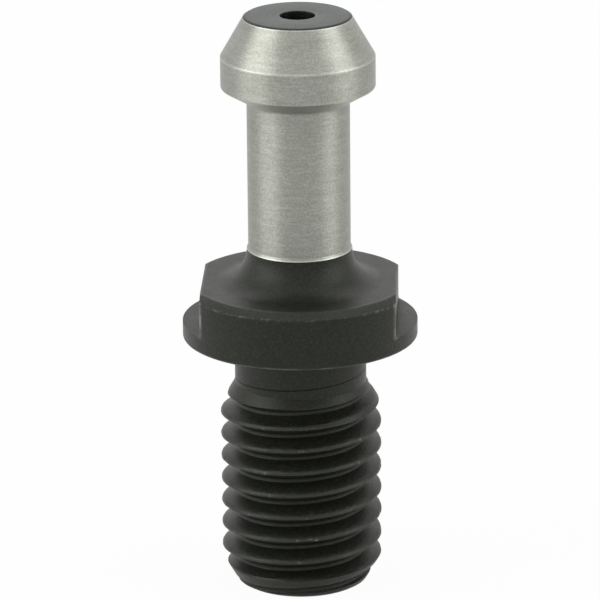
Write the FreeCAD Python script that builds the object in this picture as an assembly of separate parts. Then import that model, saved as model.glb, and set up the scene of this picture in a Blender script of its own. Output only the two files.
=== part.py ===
"""Pull stud (retention knob) for a 40-taper tool holder.

One bar of alloy steel, turned all over: a head that the spindle's gripper pulls on, a ground
neck, a flange with two wrench flats, and a threaded shank that screws into the holder.  A
coolant hole runs through the whole length.

Frame: origin on the axis in the flange's seating face, +Z towards the head, the wrench flats
facing +X and -X.  Millimetres and degrees.
"""
import FreeCAD, Part
from collections import namedtuple
import math
import os

# Head: a land between the top cone and the gripping cone under it.
head_dia = 15.0
head_land_height = 3.0
head_cone_height = 4.0
head_cone_angle = 30.0          # from the axis
gripping_cone_angle = 30.0      # from the horizontal
gripping_edge_height = 25.2     # seating face to the lower edge of the land
head_edge_break = 0.15

# Neck: ground as far as a small step, where the fillet of the flange begins.
neck_dia = 10.0
neck_top_radius = 0.4
grinding_step = 0.15
grinding_step_height = 0.3

# Flange
flange_dia = 23.0
flange_height = 5.6
flange_fillet = 3.3
flange_chamfer_width = 0.9
flange_chamfer_drop = 0.6
seat_edge_break = 0.2

# Wrench flats: milled on two sides, down to a ledge that stays fully round.
across_flats = 19.0
ledge_height = 1.6
cutter_corner_radius = 0.5

# Shank: relief groove, then the thread.
shank_length = 25.3
relief_dia = 12.9
relief_length = 4.7
lead_in_angle = 30.0            # from the axis
end_face_dia = 12.7
end_chamfer_angle = 30.0        # from the axis
end_edge_break = 0.25

# Thread: 5/8-11, right hand, with the flat crests and roots of the unified form.
thread_major_dia = 15.8
threads_per_inch = 11
thread_angle = 60.0
crest_flat_share = 1 / 8        # of the pitch
root_flat_share = 1 / 4         # of the pitch
first_crest_drop = 7.8          # seating face to the first full crest, on the -X side

# Coolant hole
coolant_dia = 3.4
coolant_edge_break = 0.2

pitch = 25.4 / threads_per_inch
cutter_overrun = 0.5            # how far each cutter runs past the metal that it cuts
shortest_edge = 0.001

full_turn = 360.0

# A corner of an outline: sharp, rounded by a tangent arc of the given radius, or broken by a
# chamfer that starts the given distance from the corner.
Corner = namedtuple("Corner", "radius height rounding edge_break", defaults=(0, 0))


def tan(degrees):
    return math.tan(math.radians(degrees))


def point(radius, height):
    return FreeCAD.Vector(radius, 0, height)


def arc(start, middle, end):
    """A circular arc, held as a spline so that what is turned from it meshes sparingly."""
    edge = Part.Arc(start, middle, end).toShape()
    return edge.Curve.toBSpline(*edge.ParameterRange).toShape()


def outline(corners):
    """Edges of a closed outline in the XZ plane, with its corners rounded or broken."""
    places = [point(corner.radius, corner.height) for corner in corners]
    entries, middles, exits = [], [], []
    for index, corner in enumerate(corners):
        place = places[index]
        back = (places[index - 1] - place).normalize()
        ahead = (places[(index + 1) % len(places)] - place).normalize()
        half_angle = back.getAngle(ahead) / 2
        reach = corner.rounding / math.tan(half_angle) + corner.edge_break
        depth = corner.rounding / math.sin(half_angle) - corner.rounding
        entries.append(place + back * reach)
        exits.append(place + ahead * reach)
        middles.append(place + (back + ahead) * (depth / (2 * math.cos(half_angle))))
    edges = []
    for index, corner in enumerate(corners):
        following = entries[(index + 1) % len(corners)]
        if corner.rounding:
            edges.append(arc(entries[index], middles[index], exits[index]))
        elif corner.edge_break:
            edges.append(Part.makeLine(entries[index], exits[index]))
        if exits[index].distanceToPoint(following) > shortest_edge:
            edges.append(Part.makeLine(exits[index], following))
    return edges


def face_of(edges):
    return Part.Face(Part.Wire(edges))


def turned_blank():
    """The stud as it leaves the lathe: bored, but with no thread and no flats."""
    bore = coolant_dia / 2
    land = head_dia / 2
    neck = neck_dia / 2
    flange = flange_dia / 2
    relief = relief_dia / 2
    major = thread_major_dia / 2
    end_face = end_face_dia / 2

    land_top = gripping_edge_height + head_land_height
    head_top = land_top + head_cone_height
    head_top_radius = land - head_cone_height * tan(head_cone_angle)
    neck_top = gripping_edge_height - (land - neck) * tan(gripping_cone_angle)
    step = neck + grinding_step
    fillet_top = flange_height + flange_fillet
    neck_bottom = fillet_top + grinding_step_height
    chamfer_foot = flange_height - flange_chamfer_drop

    thread_start = -relief_length - (major - relief) / tan(lead_in_angle)
    thread_end = -shank_length + (major - end_face) / tan(end_chamfer_angle)

    return face_of(outline([
        Corner(bore, head_top, edge_break=coolant_edge_break),
        Corner(head_top_radius, head_top, edge_break=head_edge_break),
        Corner(land, land_top, edge_break=head_edge_break),
        Corner(land, gripping_edge_height, edge_break=head_edge_break),
        Corner(neck, neck_top, rounding=neck_top_radius),
        Corner(neck, neck_bottom),
        Corner(step, fillet_top),
        Corner(step, flange_height, rounding=flange_fillet),
        Corner(flange - flange_chamfer_width, flange_height),
        Corner(flange, chamfer_foot),
        Corner(flange, 0, edge_break=seat_edge_break),
        Corner(relief, 0),
        Corner(relief, -relief_length),
        Corner(major, thread_start),
        Corner(major, thread_end),
        Corner(end_face, -shank_length, edge_break=end_edge_break),
        Corner(bore, -shank_length, edge_break=coolant_edge_break),
    ])).revolve(FreeCAD.Vector(), FreeCAD.Vector(0, 0, 1), full_turn)


def wrench_flat_cut(side):
    """What the end mill takes off one side (+1 or -1): an upright wall, a corner radius and
    the ledge."""
    wall = side * across_flats / 2
    outside = side * (flange_dia / 2 + cutter_overrun)
    above = flange_height + cutter_overrun
    length = flange_dia + 2 * cutter_overrun
    face = face_of(outline([
        Corner(wall, above),
        Corner(wall, ledge_height, rounding=cutter_corner_radius),
        Corner(outside, ledge_height),
        Corner(outside, above),
    ]))
    face.translate(FreeCAD.Vector(0, -length / 2, 0))
    return face.extrude(FreeCAD.Vector(0, length, 0))


def thread_groove():
    """The helical groove between the crests, as one long cutter that runs out of the metal
    into the relief groove above and past the end face below."""
    major = thread_major_dia / 2
    flank = tan(thread_angle / 2)
    half_mouth = pitch * (1 - crest_flat_share) / 2
    half_root = pitch * root_flat_share / 2
    depth = (half_mouth - half_root) / flank
    overrun = pitch * crest_flat_share / 2
    half_overrun = half_mouth + overrun * flank

    turns_below = math.ceil((shank_length - first_crest_drop) / pitch) + 1
    start = -first_crest_drop - turns_below * pitch
    run_out = -relief_length + half_root

    section = Part.makePolygon([
        point(major + overrun, start + half_overrun),
        point(major - depth, start + half_root),
        point(major - depth, start - half_root),
        point(major + overrun, start - half_overrun),
        point(major + overrun, start + half_overrun),
    ])
    helix = Part.makeLongHelix(pitch, run_out - start, major, 0, False)
    helix.translate(FreeCAD.Vector(0, 0, start))
    return Part.Wire(helix.Edges).makePipeShell([section], True, True)


def pull_stud():
    """The finished stud: the blank with its two wrench flats milled and its thread cut."""
    milled = turned_blank()
    for side in (-1, 1):
        milled = milled.cut(wrench_flat_cut(side))
    return milled.cut(thread_groove())


os.makedirs("parts", exist_ok=True)
stud = pull_stud().Solids[0]
stud.exportStep("parts/pull_stud.step")
size = stud.optimalBoundingBox(False)
print("pull_stud: %.2f x %.2f x %.2f mm, volume %.0f mm3, valid %s, %d faces"
      % (size.XLength, size.YLength, size.ZLength, stud.Volume, stud.isValid(), len(stud.Faces)))
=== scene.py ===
# %% [markdown]
# # A pull stud in ground steel and black oxide
# A pull stud screws into the back of a tool holder, and the spindle's gripper pulls on its
# head. The real one is turned from a single bar, so it is dressed here as a single piece:
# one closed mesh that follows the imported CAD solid, with two finishes on it. This first
# cell loads that solid and measures it, because every height below is counted from it.

import math

import bmesh
import bpy
from mathutils import Matrix, Vector, noise


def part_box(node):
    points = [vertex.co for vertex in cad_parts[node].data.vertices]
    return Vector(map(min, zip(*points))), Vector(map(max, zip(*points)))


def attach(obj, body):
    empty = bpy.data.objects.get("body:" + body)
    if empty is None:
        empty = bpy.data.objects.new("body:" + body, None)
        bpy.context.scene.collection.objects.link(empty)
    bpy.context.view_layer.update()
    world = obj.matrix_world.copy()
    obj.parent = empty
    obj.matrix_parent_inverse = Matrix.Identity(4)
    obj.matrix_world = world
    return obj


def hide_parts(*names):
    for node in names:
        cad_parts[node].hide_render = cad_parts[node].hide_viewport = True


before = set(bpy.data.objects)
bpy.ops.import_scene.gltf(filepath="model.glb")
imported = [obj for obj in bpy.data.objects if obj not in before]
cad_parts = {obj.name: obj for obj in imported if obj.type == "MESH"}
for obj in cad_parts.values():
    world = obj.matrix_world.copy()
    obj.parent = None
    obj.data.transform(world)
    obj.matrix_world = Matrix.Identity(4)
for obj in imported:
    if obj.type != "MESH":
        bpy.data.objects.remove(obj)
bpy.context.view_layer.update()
mm = 0.001
part_low, part_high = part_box("pull_stud")
shank_length = 25.3 * mm
seat = part_low[2] + shank_length
print("The part stands from %.1f to %.1f mm, its seating face at %.1f mm"
      % (part_low[2] / mm, part_high[2] / mm, seat / mm))

# %% [markdown]
# ## The camera
# The stud is looked at from a little above, with a long lens, so that its sides stay
# almost upright. The camera is placed by how far off and how high it stands, and turned
# by three axes of its own: right, up and back. That is easier to reason about than three
# Euler angles, and a Matrix takes the axes as they are.

# %% Place the camera
camera_distance = 0.4650
camera_height = 0.1546          # above the seating face
camera_pitch = math.radians(18.01)
camera_yaw = math.radians(2.33)
camera_roll = math.radians(0.525)

level_right = Vector((math.cos(camera_yaw), math.sin(camera_yaw), 0))
level_ahead = Vector((-math.sin(camera_yaw), math.cos(camera_yaw), 0))
ahead = level_ahead * math.cos(camera_pitch) - Vector((0, 0, 1)) * math.sin(camera_pitch)
level_up = level_right.cross(ahead)
right = level_right * math.cos(camera_roll) - level_up * math.sin(camera_roll)
up = level_up * math.cos(camera_roll) + level_right * math.sin(camera_roll)

camera = bpy.data.objects.new("camera", bpy.data.cameras.new("camera"))
camera.data.lens = 300
camera.data.sensor_width = 36
camera.data.clip_start = 0.01
camera.matrix_world = Matrix.Translation(
    -level_ahead * camera_distance + Vector((0, 0, seat + camera_height))
) @ Matrix((right, up, -ahead)).transposed().to_4x4()
bpy.context.scene.collection.objects.link(camera)
bpy.context.scene.camera = camera
bpy.context.scene.view_settings.view_transform = "Standard"
print("Camera at", [round(value, 3) for value in camera.matrix_world.translation])

# %% [markdown]
# ## A lathe for meshes
# A turned part is an outline swept round an axis. The outline starts as a few corner
# vertices in the XZ plane, a vertex bevel rounds the corners, and spin does the turning.
# The number of steps is shared by all that is turned, so rings of neighbouring pieces
# have their vertices in the same places and can be merged.

# %% Draw and round an outline
turn_steps = 192
edge_segments = 4               # in the arc of a small rounding
fillet_segments = 24            # in the arc of a rounding above fillet_from
fillet_from = 1


def draw_outline(mesh, corners):
    """A chain of edges through corners (radius, height, rounding) in mm above the seat."""
    points = [mesh.verts.new((radius * mm, 0, seat + height * mm))
              for radius, height, _ in corners]
    for start, end in zip(points, points[1:]):
        mesh.edges.new((start, end))
    for index, (_, _, rounding) in enumerate(corners):
        if not rounding:
            continue
        corner = points[index].co.copy()
        before = (points[index - 1].co - corner).normalized()
        after = (points[index + 1].co - corner).normalized()
        reach = rounding * mm / math.tan(before.angle(after) / 2)
        segments = fillet_segments if rounding > fillet_from else edge_segments
        bmesh.ops.bevel(mesh, geom=[points[index]], offset=reach, offset_type="OFFSET",
                        segments=segments, profile=0.5, affect="VERTICES", material=-1)
        # The bevel uses the corner vertex up, so the nearest one stands in for it.
        points[index] = min(mesh.verts, key=lambda vert: (vert.co - corner).length)


def merge_and_report(mesh, distance, what):
    """Merge vertices closer than a distance in mm, and print what the mesh is now."""
    before = len(mesh.verts)
    bmesh.ops.remove_doubles(mesh, verts=mesh.verts[:], dist=distance * mm)
    open_edges = sum(len(edge.link_faces) != 2 for edge in mesh.edges)
    print("%s: %d of %d vertices left, %d faces, %d open edges"
          % (what, len(mesh.verts), before, len(mesh.faces), open_edges))


stud = bmesh.new()
print("%d steps to a turn" % turn_steps)

# %% [markdown]
# ## The thread
# A 5/8-11 thread has eleven turns to the inch. The outline of one turn, from the middle of
# a root over the crest to the middle of the next root, is spun once round with a small
# climb at each step, and then copied down the shank a pitch at a time. The end of each
# turn has climbed to the start of the next, so merging makes one skin of them. Spinning
# all the turns in one go gives the same skin, but is slower.

# %% Spin one turn and copy it
pitch = 25.4 / 11
slope = math.tan(math.radians(30))  # of the thread's flanks, the lead-in and the chamfer
thread_radius = 7.9
root_radius = 6.45                  # as deep as the relief groove above it
crest_half = pitch / 16
root_half = pitch / 2 - crest_half - (thread_radius - root_radius) * slope
root_rounding = 0.14
crest_low_rounding, crest_high_rounding = 0.08, 0.35
first_crest = -7.8 - pitch / 2      # on the side where the spin starts
turn_low = first_crest + 1.5 * pitch
turns = 12
shortest_flank = 0.5

draw_outline(stud, [
    (root_radius, turn_low, 0),
    (root_radius, turn_low + root_half, root_rounding),
    (thread_radius, turn_low + pitch / 2 - crest_half, crest_low_rounding),
    (thread_radius, turn_low + pitch / 2 + crest_half, crest_high_rounding),
    (root_radius, turn_low + pitch - root_half, root_rounding),
    (root_radius, turn_low + pitch, 0),
])
flanks = [edge for edge in stud.edges if edge.calc_length() > shortest_flank * mm]
bmesh.ops.subdivide_edges(stud, edges=flanks, cuts=3)
bmesh.ops.spin(stud, geom=stud.verts[:] + stud.edges[:], cent=(0, 0, 0), axis=(0, 0, 1),
               dvec=(0, 0, pitch * mm / turn_steps), angle=2 * math.pi,
               steps=turn_steps, use_merge=False)
first_turn = stud.faces[:]
for turn in range(1, turns):
    copied = bmesh.ops.duplicate(stud, geom=first_turn)["geom"]
    moved = [item for item in copied if isinstance(item, bmesh.types.BMVert)]
    bmesh.ops.translate(stud, vec=(0, 0, -turn * pitch * mm), verts=moved)
merge_and_report(stud, 0.004, "Thread skin")

# %% [markdown]
# ## Where the thread runs out
# The bar was turned before the thread was cut: a relief groove with a 30 degree lead-in
# above, and below it a 30 degree chamfer with a blunter break at its foot. No point of the
# thread can stand outside that shape, so each vertex is pulled in to it. A vertex past an
# end goes to the end's own ring, whatever its radius was, so that merging leaves one
# vertex there for each step, ready to be joined to the rest.

# %% Pull the thread in to the turned bar
relief_radius, relief_end = root_radius, -4.7
end_height, end_radius = -25.3, 6.1
end_chamfer_foot = (6.475, -25.083)


def turned_radius(height):
    """Radius of the bar at a height, in mm, before the thread was cut."""
    lead_in = relief_radius + (relief_end - height) * slope
    chamfer = end_chamfer_foot[0] + (height - end_chamfer_foot[1]) * slope
    foot = end_radius + (height - end_height) / slope
    return min(thread_radius, lead_in, chamfer, foot)


pulled = 0
for vert in stud.verts:
    height = min(max((vert.co.z - seat) / mm, end_height), relief_end)
    radius = math.hypot(vert.co.x, vert.co.y) / mm
    squeeze = turned_radius(height) / radius
    if height not in (end_height, relief_end):
        squeeze = min(1, squeeze)
    vert.co = (vert.co.x * squeeze, vert.co.y * squeeze, seat + height * mm)
    pulled += squeeze != 1
print("%d of %d vertices pulled in" % (pulled, len(stud.verts)))

# %% [markdown]
# ## Dents in the crests
# A thread's crests are knocked about before the rest of it. Two noises, a broad one and a
# fine one, say where a crest is pushed in, by less than a tenth of a millimetre. Only the
# inward half of the noise counts, so the thread never grows past its own size.

# %% Dent the crests
crest_band = 0.12
dent_noises = ((1.3, 0.07), (4, 0.03))      # how often in a mm, how deep in mm

for vert in stud.verts:
    radius = math.hypot(vert.co.x, vert.co.y) / mm
    if radius > thread_radius - crest_band:
        dent = sum(noise.noise(vert.co / mm * often) * depth for often, depth in dent_noises)
        vert.co.xy *= 1 - max(0, dent) / radius
merge_and_report(stud, 0.01, "Thread with its ends")

# %% [markdown]
# ## The turned body
# Everything that isn't thread is one more outline: up the relief groove, round the flange,
# up the fillet and the neck, over the head, down the coolant hole and out across the end
# face. Its two ends are the two rings that the thread left open. The corners have a small
# rounding, as a deburred part has, which is what catches the light along an edge.

# %% Turn the body
hole_radius, hole_rounding = 1.7, 0.15
head_land, head_top = (25.2, 28.2), 32.2
head_radius = 7.5
head_top_radius, head_rim_radius, head_rim_low = 5.02, 5.28, 32.045
land_low_rounding, land_high_rounding, rim_rounding = 0.2, 0.15, 0.05
neck_radius, neck_top, neck_rounding = 5.0, 23.757, 0.4
step_radius, step_low, step_high = 5.15, 8.9, 9.2
flange_radius = part_high[1] / mm
flange_top, chamfer_low, chamfer_width = 5.6, 5.0, 0.9
flange_low_rounding, chamfer_rounding = 0.2, 0.12
fillet = 3.25

thread_verts = set(stud.verts)
draw_outline(stud, [
    (relief_radius, relief_end, 0),
    (relief_radius, 0, 0),
    (flange_radius, 0, flange_low_rounding),
    (flange_radius, chamfer_low, chamfer_rounding),
    (flange_radius - chamfer_width, flange_top, chamfer_rounding),
    (step_radius, flange_top, fillet),
    (step_radius, step_low, 0),
    (neck_radius, step_high, 0),
    (neck_radius, neck_top, neck_rounding),
    (head_radius, head_land[0], land_low_rounding),
    (head_radius, head_land[1], land_high_rounding),
    (head_rim_radius, head_rim_low, rim_rounding),
    (head_top_radius, head_top, rim_rounding),
    (hole_radius, head_top, hole_rounding),
    (hole_radius, end_height, hole_rounding),
    (end_radius, end_height, 0),
])
outline = [vert for vert in stud.verts if vert not in thread_verts]
outline += [edge for edge in stud.edges if edge.verts[0] not in thread_verts]
bmesh.ops.spin(stud, geom=outline, cent=(0, 0, 0), axis=(0, 0, 1), dvec=(0, 0, 0),
               angle=2 * math.pi, steps=turn_steps, use_merge=True)
merge_and_report(stud, 0.01, "Thread and body")
bmesh.ops.recalc_face_normals(stud, faces=stud.faces[:])
print("Volume: %.0f cubic mm" % (stud.calc_volume() / mm ** 3))

# %% [markdown]
# ## The wrench flats
# Two flats are milled across the flange, each down to a ledge. Bisecting at the wall and at
# the ledge cuts the mesh just there, and what the cutter takes off is deleted. The opening
# that this leaves is two flat faces with one edge between them, so drawing that edge is
# enough to fill both. The end mill's corner is rounded, so that edge gets a bevel too.

# %% Mill the flats
wall, ledge = 9.5, 1.6
cutter_corner, cutter_segments = 0.5, 4
cut_gap, on_plane = 1e-7, 1e-6      # metres: what counts as lying on a plane


def with_borders(faces):
    """The faces with their edges and vertices, each once and always in the same order."""
    return list(dict.fromkeys(item for face in faces
                              for item in (face, *face.edges, *face.verts)))


def on_wall(vert):
    return abs(abs(vert.co.x) - wall * mm) < on_plane


def on_ledge(vert):
    return abs(vert.co.z - seat - ledge * mm) < on_plane


def mill_flat(mesh, side):
    """Cut one wrench flat, on the +X side (1) or the -X side (-1)."""
    outside = [face for face in mesh.faces
               if any(side * vert.co.x > wall * mm for vert in face.verts)]
    bmesh.ops.bisect_plane(mesh, geom=with_borders(outside), dist=cut_gap,
                           plane_co=(side * wall * mm, 0, 0), plane_no=(side, 0, 0))
    beyond = [face for face in mesh.faces
              if side * face.calc_center_median().x > wall * mm]
    bmesh.ops.bisect_plane(mesh, geom=with_borders(beyond), dist=cut_gap,
                           plane_co=(0, 0, seat + ledge * mm), plane_no=(0, 0, 1))
    waste = [face for face in mesh.faces
             if side * face.calc_center_median().x > wall * mm
             and face.calc_center_median().z > seat + ledge * mm]
    bmesh.ops.delete(mesh, geom=waste, context="FACES")
    opening = [edge for edge in mesh.edges if edge.is_boundary]
    opening_verts = dict.fromkeys(vert for edge in opening for vert in edge.verts)
    corners = [vert for vert in opening_verts if on_ledge(vert) and on_wall(vert)]
    corner = bmesh.ops.contextual_create(mesh, geom=corners)["edges"][0]
    filled = bmesh.ops.edgenet_fill(mesh, edges=opening + [corner])["faces"]
    print("Flat %+d: %d corner points, %d faces closed" % (side, len(corners), len(filled)))
    bmesh.ops.bevel(mesh, geom=[corner], offset=cutter_corner * mm, offset_type="OFFSET",
                    segments=cutter_segments, profile=0.5, affect="EDGES", material=-1)


for side in (-1, 1):
    mill_flat(stud, side)

# %% [markdown]
# ## Milled edges eased
# A milled edge is left sharp by the cutter and is then only just broken. The edges that
# were milled are those with every vertex on a wall, or on a ledge outside its wall, and a
# clear angle between their faces. A bevel of a tenth of a millimetre is enough for them to
# show as a thin light line.

# %% Ease the milled edges
ease, ease_segments = 0.1, 2
milled_angle = math.radians(28)
milled_lowest = 0.5

milled_edges = [edge for edge in stud.edges
                if edge.calc_face_angle(0) > milled_angle
                and seat + milled_lowest * mm < min(vert.co.z for vert in edge.verts)
                and all(on_wall(vert) or (on_ledge(vert) and abs(vert.co.x) > wall * mm)
                        for vert in edge.verts)]
bmesh.ops.bevel(stud, geom=milled_edges, offset=ease * mm, offset_type="OFFSET",
                segments=ease_segments, profile=0.5, affect="EDGES", material=-1,
                clamp_overlap=True)
print("%d milled edges eased" % len(milled_edges))
bmesh.ops.recalc_face_normals(stud, faces=stud.faces[:])
merge_and_report(stud, 0.0001, "Milled stud")
print("Volume: %.0f cubic mm" % (stud.calc_volume() / mm ** 3))

# %% [markdown]
# ## From bmesh to object
# Faces get the number of their finish by where they are: 0 is black oxide, 1 is the ground
# steel of the head and neck. Shading is smooth, but an edge that turns by 25 degrees or
# more stays sharp, and a Weighted Normal modifier keeps the wide faces next to the small
# roundings flat.

# %% Make the object
sharp_angle = math.radians(25)
hole_margin = 0.5               # a face this near to the hole's radius is its wall

for face in stud.faces:
    middle = face.calc_center_median()
    height = (middle.z - seat) / mm
    radius = math.hypot(middle.x, middle.y) / mm
    ground = step_low < height < head_rim_low and radius > hole_radius + hole_margin
    face.material_index = 1 if ground else 0
    face.smooth = True
for edge in stud.edges:
    edge.smooth = edge.calc_face_angle(0) < sharp_angle

mesh = bpy.data.meshes.new("pull_stud_finished")
stud.to_mesh(mesh)
stud.free()
piece = bpy.data.objects.new("pull_stud_finished", mesh)
bpy.context.scene.collection.objects.link(piece)
weighted = piece.modifiers.new("even_shading", "WEIGHTED_NORMAL")
weighted.keep_sharp = True
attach(piece, "root")
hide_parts("pull_stud")
print("%d faces, %d sharp edges"
      % (len(mesh.polygons), sum(edge.use_edge_sharp for edge in mesh.edges)))

# %% [markdown]
# ## Arithmetic on shader sockets
# A finish is a formula over the surface: how far up, how far out, how much grain. Written
# as nodes, each plus and times is a Math node. This class wraps a node's output socket so
# that Python's own operators add those nodes, and one method makes any other node.

# %% A socket with operators
class Socket:
    """The output of a shader node; arithmetic on it adds Math nodes to the tree."""
    tree = None

    def __init__(self, output):
        self.output = output

    @classmethod
    def node(cls, kind, inputs=(), result=0, **settings):
        """Add a node: its settings first, then the values or links of its inputs."""
        node = cls.tree.nodes.new("ShaderNode" + kind)
        for name, value in settings.items():
            setattr(node, name, value)
        for name, value in dict(inputs).items():
            if isinstance(value, Socket):
                cls.tree.links.new(value.output, node.inputs[name])
            else:
                node.inputs[name].default_value = value
        return cls(node.outputs[result])

    def math(self, operation, *others):
        return Socket.node("Math", enumerate((self, *others)), operation=operation)

    def __add__(self, other): return self.math("ADD", other)
    def __mul__(self, other): return self.math("MULTIPLY", other)
    def __sub__(self, other): return self.math("SUBTRACT", other)
    def __truediv__(self, other): return self.math("DIVIDE", other)
    def __rsub__(self, other): return Socket.node(
        "Math", {0: other, 1: self}, operation="SUBTRACT")
    def __rtruediv__(self, other): return Socket.node(
        "Math", {0: other, 1: self}, operation="DIVIDE")
    def __abs__(self): return self.math("ABSOLUTE")
    __radd__, __rmul__ = __add__, __mul__


print("Sockets add, subtract, multiply and divide")

# %% [markdown]
# ## Words for finishes
# A few words make the finishes below read as sentences. A ramp passes softly from 0 to 1, a
# line is bright at one value only, a tint mixes two colours, mottle is plain noise, and
# grain is noise drawn out round the axis, as turning and grinding leave it.

# %% Ramps, lines, tints and noise
def ramp(value, low, high):
    """0 below low, 1 above high, with a soft passage; low above high turns it round."""
    return Socket.node("MapRange", {"Value": value, "From Min": low, "From Max": high},
                       interpolation_type="SMOOTHSTEP")


def line(value, middle, half_width):
    """1 at the middle value, fading to 0 half a width away."""
    return ramp(abs(value - middle), half_width, 0)


def tint(amount, below, above):
    """A colour between two others."""
    return Socket.node("Mix", {0: amount, 6: below, 7: above}, result=2, data_type="RGBA")


def grey(value):
    return (value, value, value, 1)


def mottle(place, scale, detail=2.0, roughness=0.5):
    """Noise that is alike in all directions, with so many cells to the mm."""
    return Socket.node("TexNoise", {"Vector": place, "Scale": scale, "Detail": detail,
                                    "Roughness": roughness})


def grain(x, y, z, across, along, detail=2.0):
    """Noise drawn out round the axis: fine in height, long round the part."""
    stretched = Socket.node("CombineXYZ", {0: x * along, 1: y * along, 2: z * across})
    return mottle(stretched, 1.0, detail)


print("Words for finishes: ramp, line, tint, grey, mottle, grain")

# %% [markdown]
# ## Starting and ending a finish
# Every finish starts from the same thing, the place on the stud in millimetres with its
# height counted from the seating face, and ends in the same two nodes, the principled
# shader and the output.

# %% Start and end a finish
def new_finish(name):
    """A material with an empty tree, and the place on the stud in mm from the seat."""
    finish = bpy.data.materials.new(name)
    finish.use_nodes = True
    Socket.tree = finish.node_tree
    Socket.tree.nodes.clear()
    place = Socket.node("TexCoord", result="Object")
    in_mm = Socket.node("VectorMath", {0: place, "Scale": 1 / mm}, operation="SCALE")
    split = Socket.node("SeparateXYZ", {0: in_mm})
    x, y, z = (Socket(split.output.node.outputs[axis]) for axis in "XYZ")
    return finish, in_mm, x, y, z - seat / mm


def show(shader, kind="OutputMaterial"):
    """Link a shader to the output of its tree."""
    output = Socket.tree.nodes.new("ShaderNode" + kind)
    Socket.tree.links.new(shader.output, output.inputs["Surface"])


def finish_surface(finish, colour, roughness, normal, **uniform):
    """Wire the principled shader and the output."""
    inputs = {"Base Color": colour, "Roughness": roughness, "Normal": normal, **uniform}
    show(Socket.node("BsdfPrincipled", inputs))
    print("%s: %d nodes" % (finish.name, len(Socket.tree.nodes)))

# %% [markdown]
# ## Ground steel
# The head and neck are ground after blackening, so they are bare steel with the fine lines
# of the wheel running round them. The lines are noise that changes quickly with height and
# slowly round the part. They move the colour a little, the roughness more, and tilt the
# normal, which draws each highlight out along the axis as grinding does.

# %% Write the ground steel
dull_steel, clean_steel = (0.250, 0.255, 0.214, 1), (0.60, 0.60, 0.57, 1)
cone_slant = 0.37               # of the lines, so that they don't smear on the cones

ground_steel, place, x, y, z = new_finish("ground_steel")
radius = (x * x + y * y).math("SQRT")
lay = z + radius * cone_slant
fine = grain(x, y, lay, across=9.0, along=0.9, detail=3.0)
coarse = grain(x, y, lay, across=2.2, along=0.25)
speckle = mottle(place, 5.0, detail=3.0, roughness=0.75)
# Painted highlights: light lines along the two edges of the land, the rim at the top of the
# head and the step at the foot of the neck, where their roundings would catch the light.
painted_edge_highlights = (line(z, head_land[1], 0.2) * 0.25 + line(z, head_land[0], 0.14) * 0.25
               + line(z, head_rim_low, 0.14) * 0.4 + line(z, step_low, 0.16) * 0.5)
shade_of_steel = fine * 0.35 + coarse * 0.22 + speckle * 0.8 - 0.685
colour = tint(ramp(shade_of_steel + painted_edge_highlights + 0.3, 0.0, 1.0), dull_steel, clean_steel)
roughness = 0.36 + fine * 0.08 + speckle * 0.08
bump = Socket.node("Bump", {"Strength": 0.35, "Distance": 0.00002,
                            "Height": fine * 0.7 + speckle})
finish_surface(ground_steel, colour, roughness, bump,
               **{"Metallic": 1.0, "Anisotropic": 0.75, "Anisotropic Rotation": 0.25})

# %% [markdown]
# ## Black oxide: where it is worn, and painted edge highlights
# The rest is blackened. Where an edge has rubbed, the black skin is thinner and the steel
# shows through as a light line: round the flange, along the milled flats and on the crests
# of the thread, which also have chips. The light lines round the flange and along the flats
# are also painted highlights, standing in for the light that their edges catch. The wear
# comes and goes with a broad cloud of noise, because no edge rubs evenly.

# %% Find the worn edges and their painted highlights
black_oxide, place, x, y, z = new_finish("black_oxide")
radius = (x * x + y * y).math("SQRT")
fine = grain(x, y, z + radius, across=8.0, along=0.5, detail=3.0)
cloud = mottle(place, 0.45, detail=4.0, roughness=0.6)
speckle = mottle(place, 4.0, detail=3.0, roughness=0.75)
nicks = mottle(place, 1.6, detail=3.0, roughness=0.7)
patchy = ramp(cloud, 0.42, 0.62)

on_top = ramp(z, head_top - 0.06, head_top - 0.01)
on_thread = ramp(z, relief_end, relief_end - 0.4)
outer_edge = ramp(radius, flange_radius - 0.3, flange_radius - 0.1)
# Wear and painted highlights along the flange's foot, its chamfer and the inner edge of its
# top.
flange_edge_wear_and_highlights = (line(z, 0.08, 0.2) * outer_edge * 0.5
                + line(z, chamfer_low, 0.16) * ramp(nicks, 0.50, 0.60) * 0.4
                + line(z, flange_top, 0.10) * ramp(radius, 10.2, 10.5) * 0.15)
at_wall = line(abs(x), wall, 0.32) * ramp(z, ledge - 0.3, ledge + 0.2)
# Wear and painted highlights along the milled walls and the top edge of each wall.
wall_edge_wear_and_highlights = at_wall * outer_edge + at_wall * line(z, flange_top, 0.12) * 0.4
crest = ramp(radius, thread_radius - 0.10, thread_radius - 0.03) * on_thread
chips = crest * ramp(nicks, 0.62, 0.70)
# Crest lines and chips are wear; the flange and wall lines are partly wear and partly
# painted highlights.
wear_and_edge_highlights = ((flange_edge_wear_and_highlights + wall_edge_wear_and_highlights * 1.2) * (0.35 + patchy * 0.65)
        + crest * 0.08 + chips * 0.5)
print("Wear: %d nodes" % len(Socket.tree.nodes))

# %% [markdown]
# ## Black oxide: the skin
# The skin is thin, slightly rough and almost colourless. It is not a metal to the eye, so
# it is a dielectric with a very dark base. The top face is paler, with the rings of the
# facing tool and a light rim at the hole. Where the tip of the threading tool ran out, it
# left a hair line on the relief, on the thread's own helix: a shallow groove in the bump,
# rougher, and darker in colour, which is painted shade in the groove.

# %% Write the black oxide
# The light colour is for worn edges and for the painted edge highlights.
black_skin, rubbed_and_highlit_skin = (0.0070, 0.0078, 0.0060, 1), (0.24, 0.24, 0.225, 1)
speckled_skin = (0.024, 0.026, 0.020, 1)
faced_skin, hole_rim_skin = (0.105, 0.116, 0.111, 1), (0.20, 0.20, 0.19, 1)
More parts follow.
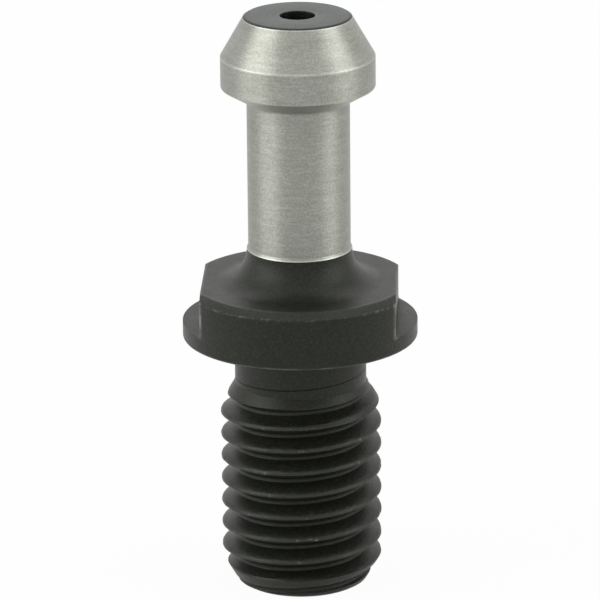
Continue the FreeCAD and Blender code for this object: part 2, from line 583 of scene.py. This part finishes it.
# Painted shade: the near-black colour inside the hair line's groove.
painted_groove_shade = (0.001, 0.001, 0.001, 1)
tool_exit = -3.757              # where the hair line crosses the front, which faces -Y

around = y.math("ARCTAN2", x)
tool_path = z - (tool_exit + pitch / 4) - around * (pitch / (2 * math.pi))
hair_line = line(tool_path, 0, 0.07) * ramp(y, -0.3, -1.2) * (1 - on_thread)
rings = grain(x, y, radius, across=5.0, along=0)
hole_rim = line(radius, hole_radius + 0.1, 0.2) * on_top

# Worn edges and painted edge highlights lighten the skin.
colour = tint(wear_and_edge_highlights, black_skin, rubbed_and_highlit_skin)
colour = tint(ramp(speckle, 0.40, 0.72) * 0.8, colour, speckled_skin)
colour = tint(on_top * (rings * 2.2 - 0.5), colour, faced_skin)
colour = tint(hole_rim * 0.5, colour, hole_rim_skin)
colour = tint(hair_line, colour, painted_groove_shade)
roughness = 0.25 + cloud * 0.12 + fine * 0.12 + hair_line * 0.4
bump = Socket.node("Bump", {"Strength": 0.6, "Distance": 0.00006,
                            "Height": fine * 0.6 + speckle - hair_line * 3})
finish_surface(black_oxide, colour, roughness, bump,
               **{"Specular IOR Level": 0.28, "Specular Tint": (0.95, 1.0, 0.86, 1)})

mesh.materials.append(black_oxide)
mesh.materials.append(ground_steel)

# %% [markdown]
# ## The floor
# The stud stands on a white floor. Rays from the camera see it almost plain white, and the
# rays by which the metal mirrors it see half of that. All other light meets an ordinary
# matt white, so the floor can be white without flooding the part.

# %% Lay the floor
floor_radius, floor_steps = 2.5, 96
white_to_camera, white_to_mirrors = 0.96, 0.5

floor_mesh = bmesh.new()
bmesh.ops.create_circle(floor_mesh, cap_ends=True, radius=floor_radius,
                        segments=floor_steps, matrix=Matrix.Translation((0, 0, part_low[2])))
floor_data = bpy.data.meshes.new("floor")
floor_mesh.to_mesh(floor_data)
floor_mesh.free()
floor = bpy.data.objects.new("floor", floor_data)
bpy.context.scene.collection.objects.link(floor)

white_floor, place, x, y, z = new_finish("white_floor")
seen = (Socket.node("LightPath", result="Is Camera Ray") * white_to_camera
        + Socket.node("LightPath", result="Is Glossy Ray") * white_to_mirrors)
matt = Socket.node("BsdfDiffuse",
                   {"Color": tint(mottle(place, 0.02), grey(0.88), grey(0.92))})
white = Socket.node("Emission", {"Color": grey(1.0), "Strength": 1.0})
show(Socket.node("MixShader", {0: seen, 1: matt, 2: white}))
floor_data.materials.append(white_floor)
print("Floor at %.1f mm" % (part_low[2] / mm))

# %% [markdown]
# ## The room and its lamps
# The room is white to the camera and in mirrors, and less bright as a source of light. Three
# soft boxes add to it: two at the sides, which draw the two long highlights down the neck,
# and a weaker one above and behind.

# %% Light the room
room_light = 0.40

world = bpy.data.worlds.new("room")
bpy.context.scene.world = world
world.use_nodes = True
Socket.tree = world.node_tree
Socket.tree.nodes.clear()
seen = Socket.node("LightPath", result="Is Camera Ray").math(
    "MAXIMUM", Socket.node("LightPath", result="Is Glossy Ray"))
shade = Socket.node("Background", {"Color": grey(1.0), "Strength": room_light})
white = Socket.node("Background", {"Color": grey(1.0), "Strength": 1.0})
show(Socket.node("MixShader", {0: seen, 1: shade, 2: white}), "OutputWorld")


def soft_lamp(name, azimuth, elevation, distance, width, height, level):
    """A soft box facing the stud. Azimuth counts from the camera's side, to the right."""
    turned, raised = math.radians(azimuth), math.radians(elevation)
    toward = Vector((math.sin(turned) * math.cos(raised),
                     -math.cos(turned) * math.cos(raised), math.sin(raised)))
    lamp = bpy.data.lights.new(name, "AREA")
    lamp.shape = "RECTANGLE"
    lamp.size, lamp.size_y = width, height
    lamp.energy = level * math.pi * width * height
    box = bpy.data.objects.new(name, lamp)
    box.matrix_world = Matrix.Translation(toward * distance) \
        @ toward.to_track_quat("Z", "Y").to_matrix().to_4x4()
    bpy.context.scene.collection.objects.link(box)
    print("%s: %.2f W" % (name, lamp.energy))


soft_lamp("soft_box_left", azimuth=-69, elevation=18, distance=0.7,
          width=0.62, height=0.9, level=2.0)
soft_lamp("soft_box_right", azimuth=78, elevation=18, distance=0.7,
          width=0.42, height=0.9, level=1.8)
soft_lamp("soft_box_above", azimuth=180, elevation=75, distance=0.8,
          width=0.8, height=0.8, level=1.0)
